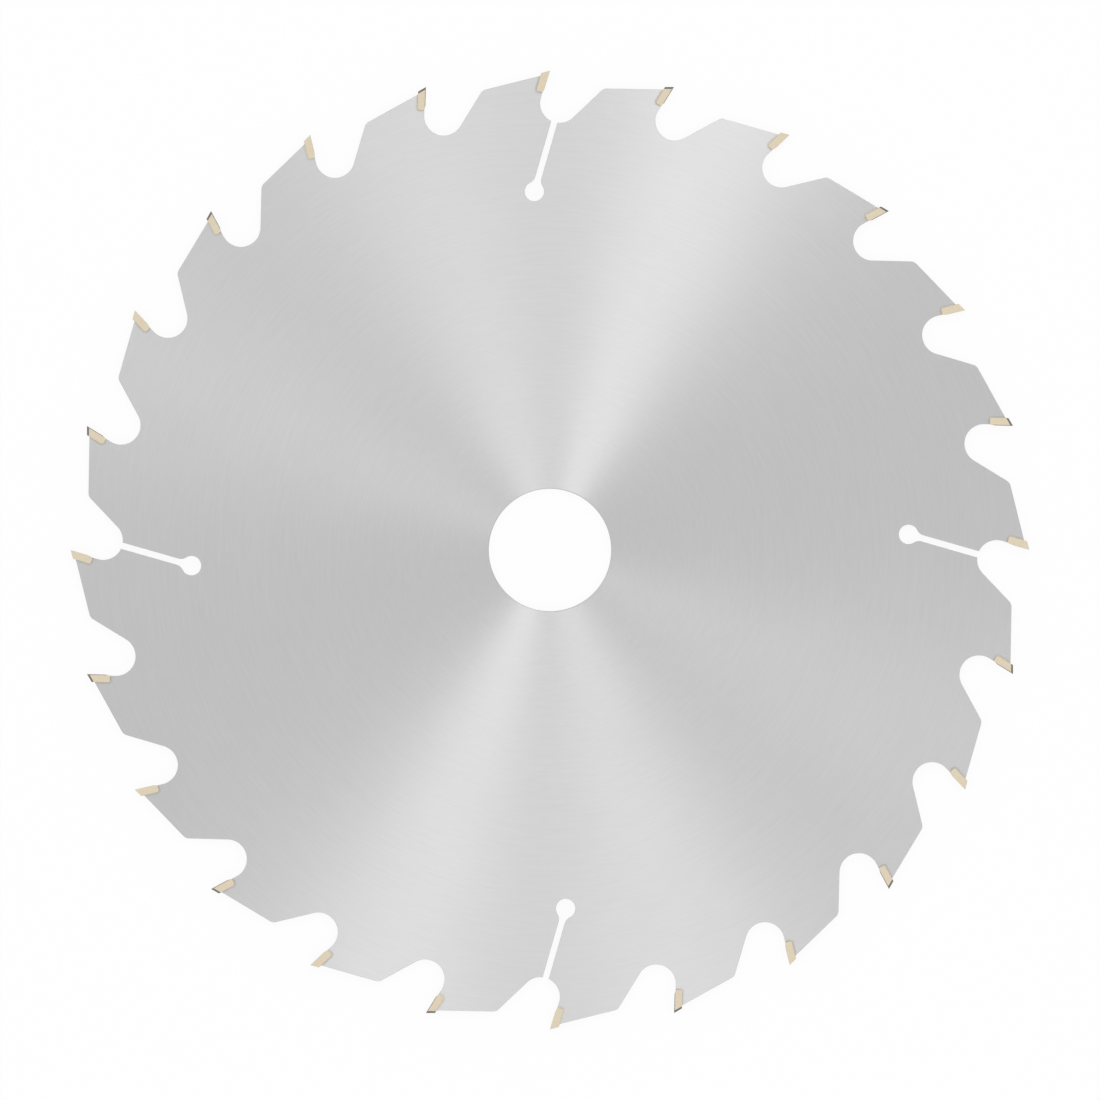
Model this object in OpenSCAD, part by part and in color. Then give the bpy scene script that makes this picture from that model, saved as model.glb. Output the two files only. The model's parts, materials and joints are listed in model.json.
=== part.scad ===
// Carbide-tipped circular saw blade: a ground steel plate with hooked teeth, and a carbide tip
// brazed into a seat at the front of every tooth. The blade lies flat, its axis is Z and its
// middle plane is z = 0. Seen from +Z it turns clockwise, and tooth 1 points along +Y.

/* [Plate] */
// Diameter over the cutting edges
blade_d = 235; // [200:1:260]
// Thickness of the steel plate
plate_t = 1.8; // [1.4:0.1:2.4]
// Diameter of the arbor bore
bore_d = 30; // [20:0.1:40]
// Edge break on both sides of the bore
bore_chamfer = 0.2; // [0.1:0.05:0.5]

/* [Teeth] */
// Number of teeth, shared out evenly between the expansion slots
tooth_count = 24; // [20:4:28]
// Hook of the cutting face, from the radius through its edge
hook_angle = 16.5; // [10:0.5:20]
// Depth of the tooth back below the cutting edge, on the radius of the edge
back_drop = 0.7; // [0.6:0.05:1.2]
// Fall of the tooth back behind the edge, from the tangent
back_angle = 14; // [10:0.5:18]
// Rounding where the tooth back meets the gullet behind it
shoulder_r = 2; // [0.5:0.1:3]

/* [Gullets] */
// Radius of the gullet's bottom
gullet_r = 4.8; // [4:0.05:5.5]
// Way down the cutting face from its edge to the gullet's centre
gullet_drop = 7; // [6.5:0.1:9]
// Angle between the front wall and the rear wall of a gullet
gullet_angle = 30; // [24:0.5:36]

/* [Expansion slots] */
// Number of slots, each opening into the bottom of a gullet
slot_count = 4; // [2:2:4]
// Width of a slot
slot_w = 1.55; // [1:0.05:2.5]
// Length from the gullet's centre to the round end of the slot
slot_l = 22.5; // [16:0.5:30]
// Diameter of the round end
slot_end_d = 4.75; // [3.5:0.05:6]
// Lean of a slot, from the radius through the cutting edge in front of it
slot_lean = 16; // [8:0.5:24]
// Rounding where a slot runs into its round end
slot_neck_r = 2.5; // [0.5:0.1:3]

/* [Carbide tips] */
// Width of the cut, over the cutting corners
kerf = 2.8; // [2.6:0.05:3.4]
// Thickness of a tip from its cutting face to its back
tip_t = 1.9; // [1.6:0.1:2.6]
// Length of a tip down its cutting face
tip_l = 5.7; // [5:0.1:6.2]
// How far the cutting face stands in front of the gullet's front wall
tip_proud = 0.25; // [0.2:0.05:0.6]
// Length of the bevel that leads the cutting face back to the front wall
tip_foot = 1.2; // [0.8:0.1:2]
// Clearance ground on the top of a tip, from the tangent
top_clearance = 15; // [12:0.5:18]
// Alternate slope of the top across the tip, left and right in turn
top_bevel = 11.5; // [8:0.5:15]
// Alternate slope of the cutting face across the tip, which puts its high corner in front
face_bevel = 3; // [1:0.5:5]
// Side clearance towards the inner end of a tip
radial_clearance = 1; // [0.5:0.1:2]
// Side clearance towards the back of a tip
tangential_clearance = 2; // [1:0.1:3]
// Bevel on the heel of a tip, which keeps it clear of the rounded corner of its seat
tip_heel = 0.3; // [0.15:0.05:0.5]
// Rounding in the corner of the seat
seat_r = 0.3; // [0.15:0.05:0.5]
// Thickness of the braze behind and under a tip
braze_t = 0.15; // [0.1:0.01:0.25]

/* [Hidden] */
$fn = 96;
// Lap of a straight wall into the arc that it runs into
lap = 0.004;
// Reach of a cut past the surface that it cuts
past = 5;

tip_r = blade_d / 2;
bore_r = bore_d / 2;
slot_end_r = slot_end_d / 2;
pitch = 360 / tooth_count;
teeth_per_slot = tooth_count / slot_count;

function turned(p, a) = [p.x * cos(a) - p.y * sin(a), p.x * sin(a) + p.y * cos(a)];

// A point given in front of the cutting face and out along it, from the cutting edge of tooth 1
function from_edge(ahead, out) = [0, tip_r] + turned([ahead, out], -hook_angle);

// Where the line through p along u meets the line through q along v
function crossing(p, u, q, v) = p + u * cross(q - p, v) / cross(u, v);

gullet_centre = from_edge(gullet_r - lap - tip_proud, -gullet_drop);
front_foot = from_edge(-tip_proud, -gullet_drop);
wall_way = turned([0, 1], -hook_angle - gullet_angle);
wall_foot = gullet_centre + (gullet_r - lap) * turned([1, 0], -hook_angle - gullet_angle);

// The back of the next tooth, from below its cutting edge
next_back = turned([0, tip_r - back_drop], -pitch);
next_back_way = turned([-1, 0], back_angle - pitch);

// The shoulder, where the rear wall of a gullet meets the back of the next tooth
shoulder = crossing(wall_foot, wall_way, next_back, next_back_way);
shoulder_half = acos(wall_way * next_back_way) / 2;
shoulder_inward = -(wall_way + next_back_way) / norm(wall_way + next_back_way);
shoulder_centre = shoulder + shoulder_inward * (shoulder_r - lap) / sin(shoulder_half);
shoulder_run = (shoulder_r - lap) / tan(shoulder_half);

function numbered(name, i) = str(name, "_", i < 9 ? "0" : "", i + 1);
function tip_name(i) = numbered("carbide_tip", i);
function braze_name(i) = numbered("braze_joint", i);

teeth = [for (i = [0 : tooth_count - 1]) i];

// The space between the front of tooth 1 and the back of the next tooth, out past the rim
module tooth_gap() {
    difference() {
        union() {
            translate(gullet_centre) circle(r = gullet_r);
            polygon([
                gullet_centre,
                front_foot,
                from_edge(-tip_proud, past),
                turned([past, tip_r + past], -pitch),
                next_back - next_back_way * past,
                shoulder - next_back_way * shoulder_run,
                shoulder - wall_way * shoulder_run,
                wall_foot
            ]);
        }
        translate(shoulder_centre) circle(r = shoulder_r);
    }
}

// The notch for a tip and its braze, in the frame of the cutting edge
module tip_seat() {
    corner = seat_r - lap;
    translate([-tip_t - braze_t, -tip_l - braze_t]) difference() {
        square([tip_t + braze_t, tip_l + braze_t]);
        difference() {
            translate([-past, -past]) square(past + corner);
            translate([corner, corner]) circle(r = seat_r);
        }
    }
}

// Side view of a tip before its top is ground, in the frame of the cutting edge
module tip_outline() {
    polygon([
        [0, 0],
        [0, tip_foot - tip_l],
        [-tip_proud, -tip_l],
        [tip_heel - tip_t, -tip_l],
        [-tip_t, tip_heel - tip_l],
        [-tip_t, 0]
    ]);
}

// One of the two roundings at the neck of a slot, with the centre of the round end at the origin
module slot_neck() {
    across = slot_w / 2 + slot_neck_r - lap;
    along = sqrt(pow(slot_end_r + slot_neck_r - lap, 2) - pow(across, 2));
    difference() {
        polygon([[0, 0], [across, along], [0, along]]);
        translate([across, along]) circle(r = slot_neck_r);
    }
}

module expansion_slot() {
    translate(gullet_centre) rotate(-slot_lean) translate([0, -slot_l]) {
        circle(r = slot_end_r);
        translate([-slot_w / 2, 0]) square([slot_w, slot_l]);
        slot_neck();
        mirror([1, 0]) slot_neck();
    }
}

module arbor_bore() {
    face = plate_t / 2;
    rotate_extrude() polygon([
        [0, -face - past],
        [bore_r + bore_chamfer + past, -face - past],
        [bore_r, bore_chamfer - face],
        [bore_r, face - bore_chamfer],
        [bore_r + bore_chamfer + past, face + past],
        [0, face + past]
    ]);
}

module at_edge() {
    translate([0, tip_r]) rotate(-hook_angle) children();
}

module at_tooth(i) {
    rotate(-i * pitch) children();
}

// Laser-cut and ground tool steel
module blade_plate() {
    color("silver") difference() {
        linear_extrude(plate_t, center = true) difference() {
            circle(r = tip_r);
            for (i = teeth) at_tooth(i) {
                tooth_gap();
                at_edge() tip_seat();
            }
            for (i = [0 : slot_count - 1]) at_tooth(i * teeth_per_slot) expansion_slot();
        }
        arbor_bore();
    }
}

// What the grinding wheel takes off one side of a tip
module side_grind() {
    translate([0, 0, kerf / 2]) rotate([radial_clearance, -tangential_clearance, 0])
        translate([-tip_l, -tip_l - past, 0]) cube([2 * tip_l, tip_l + 2 * past, past]);
}

// What the grinding wheel takes off the top, with its high corner towards +Z
module top_grind() {
    fall = top_clearance + hook_angle;
    slope = atan(tan(top_bevel) * cos(fall));
    translate([0, 0, kerf / 2]) rotate(fall) rotate([-slope, 0, 0])
        translate([-tip_l, 0, -kerf - past]) cube([2 * tip_l, past, kerf + 2 * past]);
}

// What the grinding wheel takes off the cutting face, with its high corner towards +Z
module face_grind() {
    translate([0, 0, kerf / 2]) rotate([0, face_bevel, 0])
        translate([0, -tip_l - past, -kerf - past]) cube([past, tip_l + 2 * past, kerf + 2 * past]);
}

// Sintered carbide, ground on its cutting face, top and both sides
module carbide_tip(i) {
    color("tan") at_tooth(i) at_edge() mirror([0, 0, i % 2]) difference() {
        linear_extrude(kerf, center = true) tip_outline();
        side_grind();
        mirror([0, 0, 1]) side_grind();
        top_grind();
        face_grind();
    }
}

// Silver solder that fills the seat behind and under a tip, flush with the plate
module braze_joint(i) {
    color("darkkhaki") at_tooth(i) linear_extrude(plate_t, center = true) difference() {
        at_edge() difference() {
            tip_seat();
            tip_outline();
        }
        tooth_gap();
        at_tooth(-1) tooth_gap();
    }
}

blade_plate();
for (i = teeth) carbide_tip(i);
for (i = teeth) braze_joint(i);
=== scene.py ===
# A carbide-tipped circular saw blade, lying flat on a pale floor and seen from straight above.
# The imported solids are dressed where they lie, in metres, with the blade's axis along Z.
import json
import math

import bmesh
import bpy
from mathutils import Matrix, Vector


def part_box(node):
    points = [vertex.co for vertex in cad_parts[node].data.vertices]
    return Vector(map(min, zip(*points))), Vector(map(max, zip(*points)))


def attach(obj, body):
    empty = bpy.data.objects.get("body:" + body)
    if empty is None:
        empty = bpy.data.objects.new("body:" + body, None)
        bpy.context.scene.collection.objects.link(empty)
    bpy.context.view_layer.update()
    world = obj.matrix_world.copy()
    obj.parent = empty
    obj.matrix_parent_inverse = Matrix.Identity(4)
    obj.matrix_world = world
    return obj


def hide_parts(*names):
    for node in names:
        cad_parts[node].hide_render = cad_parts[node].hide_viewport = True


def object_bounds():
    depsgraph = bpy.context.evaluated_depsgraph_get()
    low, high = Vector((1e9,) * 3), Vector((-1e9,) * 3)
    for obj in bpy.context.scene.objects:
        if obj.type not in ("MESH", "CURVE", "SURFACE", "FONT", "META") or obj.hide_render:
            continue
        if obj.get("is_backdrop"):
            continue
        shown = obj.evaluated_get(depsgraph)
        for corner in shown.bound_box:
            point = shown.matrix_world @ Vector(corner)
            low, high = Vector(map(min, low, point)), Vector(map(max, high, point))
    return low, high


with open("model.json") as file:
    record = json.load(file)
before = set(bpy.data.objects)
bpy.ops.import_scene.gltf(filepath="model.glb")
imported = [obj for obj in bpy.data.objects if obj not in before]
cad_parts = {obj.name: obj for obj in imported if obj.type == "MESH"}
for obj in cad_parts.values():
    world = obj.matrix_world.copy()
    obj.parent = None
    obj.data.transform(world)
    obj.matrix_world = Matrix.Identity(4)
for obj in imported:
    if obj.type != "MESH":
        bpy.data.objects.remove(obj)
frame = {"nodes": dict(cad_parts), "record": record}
solids_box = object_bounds()


# Blade plate
# A disc of hardened tool steel, laser cut to its toothed outline and then ground on both faces.
# The grinding leaves fine lines round the bore, so the faces gleam in rays that run outwards.
mm = 0.001
line_depth = 0.003 * mm
# A quarter turn lays the gleam across the lines, from the bore outwards.
line_gloss = {"Anisotropic": 0.92, "Anisotropic Rotation": 0.25}
arc_bow = 0.003 * mm
least_turn = math.radians(0.1)
crisp_angle = math.radians(30)
edge_break = 0.05 * mm
upright_limit = 0.5
level_limit = 0.99
plate_solid = frame["nodes"]["blade_plate"]
plate_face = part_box("blade_plate")[1].z
arbor_bore = next(mount for mount in frame["record"]["mounts"] if mount["name"] == "arbor_bore")
bore_radius = arbor_bore["dims"]["r_mm"] * mm
bore_length = arbor_bore["dims"]["length_mm"] * mm
bore_chamfer = plate_face - bore_length / 2


class Value:
    """One socket of a node tree. Python's operators on it add Math nodes to that tree."""

    def __init__(self, socket):
        self.socket = socket

    def node(self, kind, settings, sockets, output=0):
        """Adds a node, sets it up, fills or links its inputs and gives one of its outputs."""
        tree = self.socket.id_data
        made = tree.nodes.new("ShaderNode" + kind)
        for name, setting in settings.items():
            setattr(made, name, setting)
        for name, value in sockets.items():
            if isinstance(value, Value):
                tree.links.new(value.socket, made.inputs[name])
            else:
                made.inputs[name].default_value = value
        return Value(made.outputs[output]) if made.outputs else None

    def math(self, operation, *others):
        """Adds a Math node on this value and the others."""
        return self.node("Math", {"operation": operation}, dict(enumerate((self, *others))))

    def __add__(self, other):
        return self.math("ADD", other)

    def __sub__(self, other):
        return self.math("SUBTRACT", other)

    def __rsub__(self, other):
        return self.math("MULTIPLY_ADD", -1, other)

    def __mul__(self, other):
        return self.math("MULTIPLY", other)

    def __truediv__(self, other):
        return self.math("DIVIDE", other)

    def __pow__(self, other):
        return self.math("POWER", other)

    __radd__ = __add__
    __rmul__ = __mul__

    def rise(self, low, high):
        """0 below the low value and 1 above the high one, with a soft step between them."""
        limits = {"Value": self, "From Min": low, "From Max": high}
        return self.node("MapRange", {"interpolation_type": "SMOOTHSTEP"}, limits)

    def mix(self, without, full):
        """A colour between two, where this value is the share of the second."""
        return self.node("Mix", {"data_type": "RGBA"}, {0: self, 6: without, 7: full}, 2)


def new_finish(name):
    """A new material, with the place on its surface as the first value."""
    material = bpy.data.materials.new(name)
    material.use_nodes = True
    material.node_tree.nodes.clear()
    surface = material.node_tree.nodes.new("ShaderNodeTexCoord")
    return material, Value(surface.outputs["Object"])


def part_of(vector, axis):
    """The part of a vector along one axis."""
    return vector.node("SeparateXYZ", {}, {"Vector": vector}, axis)


def grain(place, spacing):
    """Uneven lines or grains, from 0 to 1, with this spacing along each axis."""
    density = tuple(1 / step for step in spacing)
    spread = place.node("VectorMath", {"operation": "MULTIPLY"}, {0: place, 1: density})
    return place.node("TexNoise", {}, {"Vector": spread, "Scale": 1, "Detail": 3})


def grinding_lines(place, spacing, sweep):
    """Lines round the blade's axis, from 0 to 1, this far apart and about this many radians long."""
    x = part_of(place, "X")
    y = part_of(place, "Y")
    radius = (x * x + y * y) ** 0.5
    turn = {"X": radius, "Y": x / radius, "Z": y / radius}
    return grain(place.node("CombineXYZ", {}, turn), (spacing, sweep, sweep))


def facing_up_or_down(place, low, high):
    """1 on faces that look up or down and 0 on upright ones, with a soft step between two slopes."""
    direction = place.node("TexCoord", {}, {}, "Normal")
    return part_of(direction, "Z").math("ABSOLUTE").rise(low, high)


def bump(height, depth):
    """The surface direction over a relief of this depth."""
    return height.node("Bump", {}, {"Height": height, "Strength": 1, "Distance": depth}, "Normal")


def wear(material, shader):
    """The material with this shader on its surface."""
    shader.node("OutputMaterial", {}, {"Surface": shader})
    return material


def ground_steel():
    material, place = new_finish("ground_steel")
    coarse_lines = grinding_lines(place, 0.45 * mm, 0.12)
    fine_lines = grinding_lines(place, 0.12 * mm, 0.05)
    lines = coarse_lines * 0.6 + fine_lines * 0.4
    cut_marks = grain(place, (0.12 * mm, 0.12 * mm, 4 * mm))
    face = facing_up_or_down(place, 0.3, 0.75)
    face_colour = lines.mix((0.515, 0.515, 0.515, 1), (0.615, 0.615, 0.615, 1))
    cut_colour = cut_marks.mix((0.22, 0.21, 0.2, 1), (0.42, 0.41, 0.4, 1))
    unevenness = grain(place, (18 * mm, 18 * mm, 18 * mm)) - 0.5
    face_roughness = 0.4 + (lines - 0.5) * 0.08 + unevenness * 0.04
    cut_roughness = 0.4 + cut_marks * 0.2
    roughness = face_roughness * face + cut_roughness * (1 - face)
    relief = lines * face + cut_marks * (1 - face) * 3
    return wear(material, place.node("BsdfPrincipled", {}, {
        "Base Color": face.mix(cut_colour, face_colour),
        "Metallic": 1,
        "Roughness": roughness,
        "Normal": bump(relief, line_depth),
        **line_gloss,
    }))


def rim_edges():
    """The upper edges of the cut walls in order, each with the wall's way out at both its ends."""
    mesh = plate_solid.data
    following = {}
    for wall in mesh.polygons:
        if abs(wall.normal.z) > upright_limit:
            continue
        corners = list(wall.loop_indices)
        for corner, after in zip(corners, corners[1:] + corners[:1]):
            spots = [mesh.vertices[mesh.loops[c].vertex_index].co for c in (corner, after)]
            if all(spot.z > plate_face - arc_bow for spot in spots):
                ways = [mesh.corner_normals[c].vector.to_2d() for c in (corner, after)]
                key, end = (tuple(round(size / arc_bow) for size in spot.xy) for spot in spots)
                following[key] = (end, spots[0].to_2d(), spots[1].to_2d(), *ways)
    first = here = min(following)
    while True:
        here, *edge = following[here]
        yield edge
        if here == first:
            return


def rim_points():
    """The rim with its arcs drawn finely, as points with the way out that keeps a margin even."""
    edges = list(rim_edges())
    before = edges[-1][3]
    for start, end, way, last_way in edges:
        turn = way.angle(last_way)
        steps = 1
        bow_radius = 0
        if turn > least_turn:
            bow_radius = (end - start).dot(last_way - way) / (last_way - way).length_squared
            steps = math.ceil(turn / (2 * math.acos(1 - arc_bow / abs(bow_radius))))
        for step in range(steps):
            out = way.slerp(last_way, step / steps) if step else way
            spot = start + (out - way) * bow_radius
            yield spot, (before + out) / (1 + before.dot(out))
            before = out
        before = last_way


def join_rings(mesh, rings):
    """Bands of faces between rings of points that follow each other."""
    for one, two in zip(rings, rings[1:]):
        for a in range(len(one)):
            b = (a + 1) % len(one)
            mesh.faces.new((one[a], one[b], two[b], two[a]))


def put_in_scene(name, data):
    """A new object of this mesh, lamp or camera."""
    made = bpy.data.objects.new(name, data)
    bpy.context.scene.collection.objects.link(made)
    return made


def new_piece(name, mesh, material):
    """An object of this mesh, with crisp edges, that is fixed to the blade."""
    bmesh.ops.recalc_face_normals(mesh, faces=mesh.faces)
    data = bpy.data.meshes.new(name)
    mesh.to_mesh(data)
    mesh.free()
    data.materials.append(material)
    data.set_sharp_from_angle(angle=crisp_angle)
    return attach(put_in_scene(name, data), "root")


def ground_plate():
    """The plate with its edges broken and its arcs drawn finely."""
    mesh = bmesh.new()
    rim = list(rim_points())
    half_way = edge_break * (1 - math.sqrt(0.5))
    upper = [(edge_break, 0), (half_way, half_way), (0, edge_break)]
    profile = [(margin, plate_face - drop) for margin, drop in upper]
    profile += [(margin, -height) for margin, height in reversed(profile)]
    wall = []
    for margin, height in profile:
        wall.append([mesh.verts.new((*(spot - out * margin), height)) for spot, out in rim])
    join_rings(mesh, wall)
    steps = math.ceil(math.pi / math.acos(1 - arc_bow / bore_radius))
    bore = [(bore_radius + bore_chamfer, plate_face), (bore_radius, bore_length / 2)]
    bore += [(radius, -height) for radius, height in reversed(bore)]
    angles = [2 * math.pi * step / steps for step in range(steps)]
    hole = []
    for radius, height in bore:
        spots = [(radius * math.cos(angle), radius * math.sin(angle), height) for angle in angles]
        hole.append([mesh.verts.new(spot) for spot in spots])
    join_rings(mesh, hole)
    for level, up in ((0, 1), (-1, -1)):
        border = []
        for ring in (wall[level], hole[level]):
            border += [mesh.edges.get(pair) for pair in zip(ring, ring[1:] + ring[:1])]
        bmesh.ops.triangle_fill(mesh, edges=border, use_beauty=True, normal=(0, 0, up))
    piece = new_piece("ground_plate", mesh, ground_steel())
    for face in piece.data.polygons:
        face.use_smooth = abs(face.normal.z) < level_limit
    return piece


plate = ground_plate()
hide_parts("blade_plate")


# Braze joints
# Thin layers of silver solder behind and under each tip, which hold it in its seat.
# The solder runs in when the seat is heated, and cools with a dull, slightly mottled skin.
def silver_solder():
    material, place = new_finish("silver_solder")
    mottle = grain(place, (0.35 * mm, 0.35 * mm, 0.35 * mm))
    skin = grain(place, (0.06 * mm, 0.06 * mm, 0.06 * mm))
    return wear(material, place.node("BsdfPrincipled", {}, {
        "Base Color": mottle.mix((0.36, 0.335, 0.295, 1), (0.6, 0.56, 0.49, 1)),
        "Metallic": 1,
        "Roughness": 0.35 + mottle * 0.2,
        "Normal": bump(mottle + skin * 0.3, 0.02 * mm),
    }))


solder = silver_solder()
for name, node in frame["nodes"].items():
    if name.startswith("braze_joint"):
        node.material_slots[0].material = solder


# Carbide tips
# Small blocks of sintered tungsten carbide, brazed to the teeth and ground to size in place.
# Their sides are pale tan. The cutting faces, the bevelled tops and the broken edges are ground grey, but
# they are coloured far darker than that grey, as painted shade.
weld_reach = 0.0001 * mm
flat_angle = math.radians(0.2)


def ground_carbide():
    material, place = new_finish("ground_carbide")
    side_lines = grinding_lines(place, 0.1 * mm, 0.02)
    mottle = grain(place, (0.5 * mm, 0.5 * mm, 0.5 * mm))
    side = facing_up_or_down(place, 0.5, 0.85)
    side_colour = (side_lines * 0.5 + mottle * 0.5).mix((0.57, 0.49, 0.36, 1), (0.715, 0.635, 0.49, 1))
    edge_lines = grain(place, (0.3 * mm, 0.3 * mm, 0.05 * mm))
    # Painted shade: every face that is not a side gets a near-black colour, much darker than the grey of
    # ground carbide.
    ground_grey_and_painted_shade_colour = edge_lines.mix((0.07, 0.062, 0.05, 1), (0.13, 0.115, 0.092, 1))
    lines = side_lines * side + edge_lines * (1 - side)
    return wear(material, place.node("BsdfPrincipled", {}, {
        "Base Color": side.mix(ground_grey_and_painted_shade_colour, side_colour),
        "Metallic": 0.2 + side * 0.5,
        "Roughness": 0.38 + lines * 0.2,
        "Specular IOR Level": 0.2,
        "Normal": bump(lines, 0.004 * mm),
    }))


def break_edges(piece):
    """Rounds the sharp edges of a solid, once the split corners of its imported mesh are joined."""
    join = piece.modifiers.new("joined_corners", "WELD")
    join.merge_threshold = weld_reach
    flat = piece.modifiers.new("flat_faces", "DECIMATE")
    flat.decimate_type = "DISSOLVE"
    flat.angle_limit = flat_angle
    edge = piece.modifiers.new("broken_edges", "BEVEL")
    edge.width = edge_break
    edge.segments = 2
    edge.limit_method = "ANGLE"
    edge.angle_limit = crisp_angle
    edge.use_clamp_overlap = False
    edge.harden_normals = True


carbide = ground_carbide()
tips = sorted(name for name in frame["nodes"] if name.startswith("carbide_tip"))
for name in tips:
    tip = frame["nodes"][name]
    tip.material_slots[0].material = carbide
    break_edges(tip)


# Solder fillets, with painted shade beside the tips
# Solder that was pressed out at the back and the inner end of each tip, on both faces of the plate.
# It stands as a small hollow fillet against the tip and runs out in a thin film on the steel,
# which is ground in the same turn as the plate, so it gleams in the same rays.
# The fillet and its film are coloured darker than the steel around them, partly as the solder's own grey
# and partly as painted shade along the foot of each tip.
hook = math.radians(16.5)
tip_thickness = 1.9 * mm
tip_length = 5.7 * mm
tip_heel = 0.3 * mm
tip_proud = 0.25 * mm
tooth_back = 2 * mm
cutting_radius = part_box(tips[0])[1].y
film_reach = 0.42 * mm
film_height = 0.03 * mm
fillet_radius = 0.09 * mm
fillet_sunk = 0.02 * mm
fillet_taper = 0.6 * mm
fillet_step = 0.12 * mm
fillet_arc_steps = 6
ripple_share = 0.05
ripple_length = 0.3 * mm
ripple_shift = 2.3
fillet_end = 0.35


def brushed_solder_and_shade():
    material, place = new_finish("brushed_solder_and_shade")
    lines = grinding_lines(place, 0.2 * mm, 0.03)
    mottle = grain(place, (0.35 * mm, 0.35 * mm, 0.35 * mm))
    skin = lines * 0.4 + mottle * 0.6
    return wear(material, place.node("BsdfPrincipled", {}, {
        # Partly the solder's grey and partly painted shade: darker than the steel's 0.515 to 0.615 next to
        # it.
        "Base Color": skin.mix((0.42, 0.41, 0.385, 1), (0.62, 0.605, 0.57, 1)),
        "Metallic": 1,
        "Roughness": 0.35 + mottle * 0.1,
        "Normal": bump(lines, line_depth),
        **line_gloss,
    }))


def fillet_route():
    """Points along the foot of a tip, in the frame of its cutting edge, with the way out of it."""
    back = Vector((-1, 0))
    heel = Vector((-1, -1)).normalized()
    inner = Vector((0, -1))
    upper = Vector((-tip_thickness, -tooth_back))
    lower = Vector((-tip_thickness, tip_heel - tip_length))
    heel_end = Vector((tip_heel - tip_thickness, -tip_length))
    front = Vector((-tip_proud - fillet_sunk, -tip_length))
    before = back
    for start, end, out in ((upper, lower, back), (lower, heel_end, heel), (heel_end, front, inner)):
        steps = math.ceil((end - start).length / fillet_step)
        for step in range(steps):
            yield start.lerp(end, step / steps), (out if step else (before + out).normalized())
        before = out
    yield front, inner


def fillet_section(size):
    """Outline across the solder, as ways out from the tip and up from the plate."""
    section = []
    for bit in range(fillet_arc_steps + 1):
        angle = math.pi / 2 * bit / fillet_arc_steps
        away = fillet_radius * size * (1 - math.cos(angle))
        rise = fillet_radius * size * (1 - math.sin(angle))
        section.append((away, rise + film_height))
    outer = film_reach * size
    section += [(outer - film_height, film_height), (outer, 0), (outer, -fillet_sunk)]
    return section + [(-fillet_sunk, -fillet_sunk), (-fillet_sunk, section[0][1])]


def solder_fillets_and_shade():
    """The solder on both faces at every tip, coloured darker than the steel as painted shade beside each
    tip.
    """
    mesh = bmesh.new()
    route = list(fillet_route())
    run = [0]
    for (foot, _), (after, _) in zip(route, route[1:]):
        run.append(run[-1] + (after - foot).length)
    pitch = 2 * math.pi / len(tips)
    at_edge = Matrix.Translation((0, cutting_radius, 0)) @ Matrix.Rotation(-hook, 4, "Z")
    for tooth in range(len(tips)):
        at_tooth = Matrix.Rotation(-tooth * pitch, 4, "Z") @ at_edge
        for face in (1, -1):
            rings = []
            for way, (foot, out) in zip(run, route):
                ripple = 1 + ripple_share * math.sin(way / ripple_length + ripple_shift * tooth + face)
                from_end = min(way, run[-1] - way) / fillet_taper
                taper = min(1, fillet_end + (1 - fillet_end) * from_end)
                ring = []
                for away, rise in fillet_section(ripple * taper):
                    spot = Vector((*(foot + out * away), face * (plate_face + rise)))
                    ring.append(mesh.verts.new(at_tooth @ spot))
                rings.append(ring)
            join_rings(mesh, rings)
            mesh.faces.new(rings[0])
            mesh.faces.new(rings[-1])
    return new_piece("solder_fillets_and_shade", mesh, brushed_solder_and_shade())


fillets = solder_fillets_and_shade()


# Floor
# A plain pale sheet that the blade lies on. The camera and bright metal see it as almost white,
# with a faint shadow, and the light that it throws back is that of a dull white surface.
white_share = 0.92
# The sheet is set off to one side, so that the seam between its two triangles misses the blade.
floor_corners = ((-2.5, -3), (3.5, -3), (3.5, 3), (-2.5, 3))
floor_height = solids_box[0].z


def seen_directly(value):
    """1 for what the camera, a reflection or a clear body shows, and 0 for scattered light."""
    ways = ("Is Camera Ray", "Is Glossy Ray", "Is Transmission Ray")
    camera, glossy, clear = (value.node("LightPath", {}, {}, way) for way in ways)
    return camera.math("MAXIMUM", glossy).math("MAXIMUM", clear)


def pale_floor():
    material, place = new_finish("pale_floor")
    dull = place.node("BsdfDiffuse", {}, {"Color": (0.95, 0.95, 0.95, 1)})
    white = place.node("Emission", {}, {"Color": (1, 1, 1, 1), "Strength": 1})
    lit = place.node("MixShader", {}, {0: seen_directly(place) * white_share, 1: dull, 2: white})
    open_back = place.node("BsdfTransparent", {}, {})
    under = place.node("NewGeometry", {}, {}, "Backfacing")
    return wear(material, place.node("MixShader", {}, {0: under, 1: lit, 2: open_back}))


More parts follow.
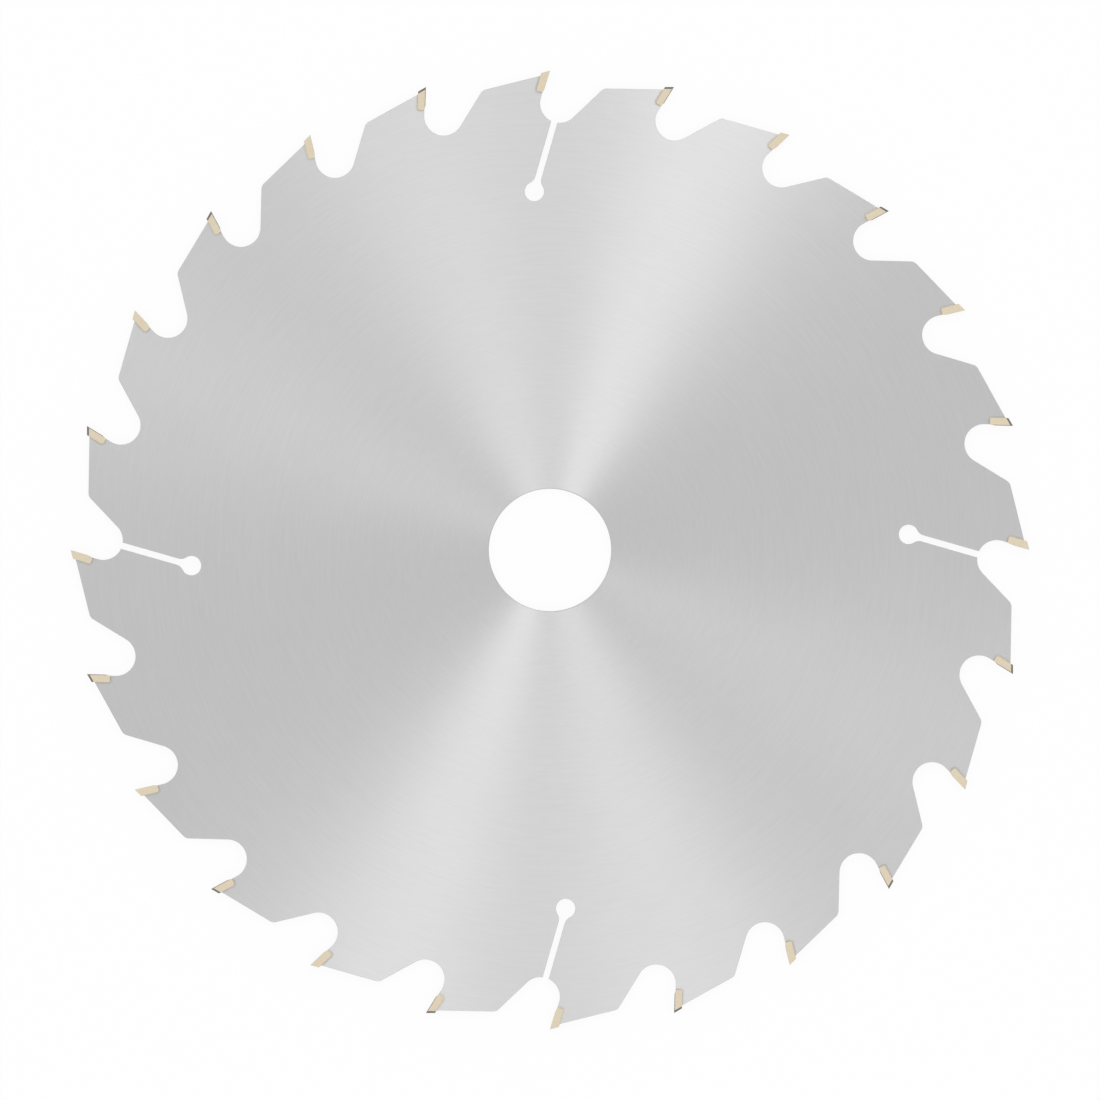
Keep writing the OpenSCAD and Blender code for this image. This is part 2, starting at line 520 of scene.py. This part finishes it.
floor_mesh = bpy.data.meshes.new("floor")
floor_mesh.from_pydata([(*corner, floor_height) for corner in floor_corners], [], [(0, 1, 2, 3)])
floor_mesh.materials.append(pale_floor())
put_in_scene("floor", floor_mesh)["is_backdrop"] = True


# Light
# A white surround gives most of the light, and three far strip lamps draw the bright rays on the
# ground steel, each where the lines of the grinding run across the way to the lamp.
scene = bpy.context.scene
surround_level = 0.83
lamp_distance = 3
lamp_length = 1.05
lamp_elevation = math.radians(60)
surround = bpy.data.worlds.new("white_surround")
surround.use_nodes = True
surround.cycles.sampling_method = "NONE"
scene.world = surround
sky = next(node for node in surround.node_tree.nodes if node.type == "BACKGROUND")
sky.inputs["Color"].default_value = (1, 1, 1, 1)
sky_value = Value(sky.outputs["Background"])
sky_strength = seen_directly(sky_value) * (1 - surround_level) + surround_level
surround.node_tree.links.new(sky_strength.socket, sky.inputs["Strength"])


def strip_lamp(name, azimuth, width, power):
    """A long lamp that faces the blade, with its azimuth in degrees, its width in metres and its watts."""
    lamp = bpy.data.lights.new(name, "AREA")
    lamp.shape = "RECTANGLE"
    lamp.size = width
    lamp.size_y = lamp_length
    lamp.energy = power
    turn = math.radians(azimuth)
    across = math.cos(lamp_elevation)
    way = Vector((across * math.cos(turn), across * math.sin(turn), math.sin(lamp_elevation)))
    holder = put_in_scene(name, lamp)
    holder.location = way * lamp_distance
    holder.rotation_euler = (-way).to_track_quat("-Z", "Y").to_euler()


strip_lamp("back_strip_lamp", azimuth=68.8, width=0.52, power=8.1)
strip_lamp("front_strip_lamp", azimuth=287.7, width=0.66, power=6.6)
strip_lamp("side_strip_lamp", azimuth=154, width=0.6, power=2.8)
scene.view_settings.view_transform = "Standard"


# Camera
# Looks straight down the blade's axis with tooth 1 at the top. It has no perspective, because the
# photograph shows the blade so flat on that none can be seen.
picture_width = 0.2696
camera_height = 1
view = bpy.data.cameras.new("camera")
view.type = "ORTHO"
view.ortho_scale = picture_width
scene.camera = put_in_scene("camera", view)
scene.camera.location.z = camera_height

boxes = {"solids": solids_box, "dressed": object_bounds()}
{name: [list(corner) for corner in box] for name, box in boxes.items()}
